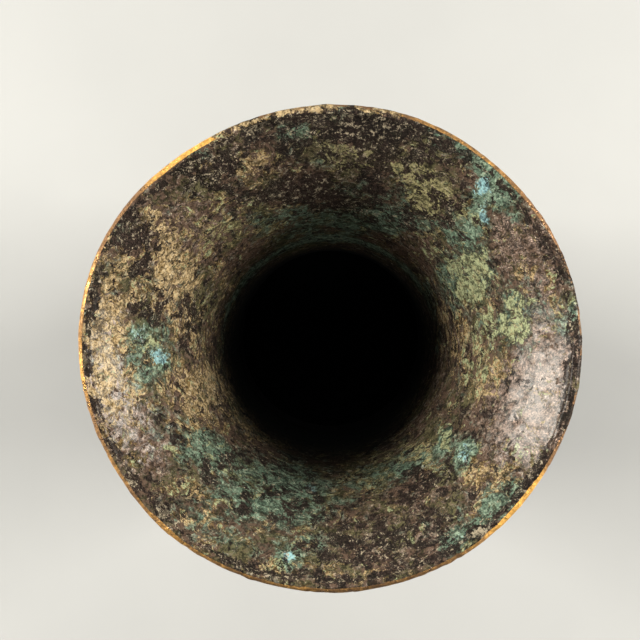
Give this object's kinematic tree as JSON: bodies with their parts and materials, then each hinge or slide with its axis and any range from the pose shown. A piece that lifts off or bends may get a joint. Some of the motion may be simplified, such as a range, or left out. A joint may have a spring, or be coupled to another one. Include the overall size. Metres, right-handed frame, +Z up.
{
  "type": "bronze gu vessel",
  "caption": "Tall cast bronze beaker with a trumpet mouth, a flanged swelling drum and a spreading flanged foot, in a green and brown patina.",
  "frame": {"origin": "centre of the foot's resting face", "axes": "+Z up along the vessel's axis, from the foot to the mouth; the flanges lie on +X, +Y, -X and -Y"},
  "size_m": [0.16, 0.16, 0.26],
  "materials": {
    "neck_patina": "cast bronze under a dark brown patina with tan earth crust and green corrosion; bare gold metal on the worn lip",
    "drum_patina": "cast bronze, dark brown and green patina",
    "foot_patina": "cast bronze, brown and green patina, worn foot rim",
    "floor_patina": "rough cast bronze, nearly black",
    "flange_patina": "cast bronze, brown patina rubbed on the edges",
    "solder": "dull grey tin and lead solder",
    "pin_metal": "hammered bronze pin ends, brown",
    "plug_metal": "bronze plugs, filed flush and patinated"
  },
  "bodies": {
    "root": {"neck_casting": "neck_patina", "drum_casting": "drum_patina", "foot_casting": "foot_patina", "cup_floor": "floor_patina", "neck_joint_solder": "solder", "foot_joint_solder": "solder", "floor_solder": "solder", "neck_joint_pins": "pin_metal", "foot_joint_pins": "pin_metal", "neck_core_plugs": "plug_metal", "foot_core_plugs": "plug_metal", "drum_flange_1": "flange_patina", "drum_flange_2": "flange_patina", "drum_flange_3": "flange_patina", "drum_flange_4": "flange_patina", "foot_flange_1": "flange_patina", "foot_flange_2": "flange_patina", "foot_flange_3": "flange_patina", "foot_flange_4": "flange_patina"}
  },
  "joints": []
}
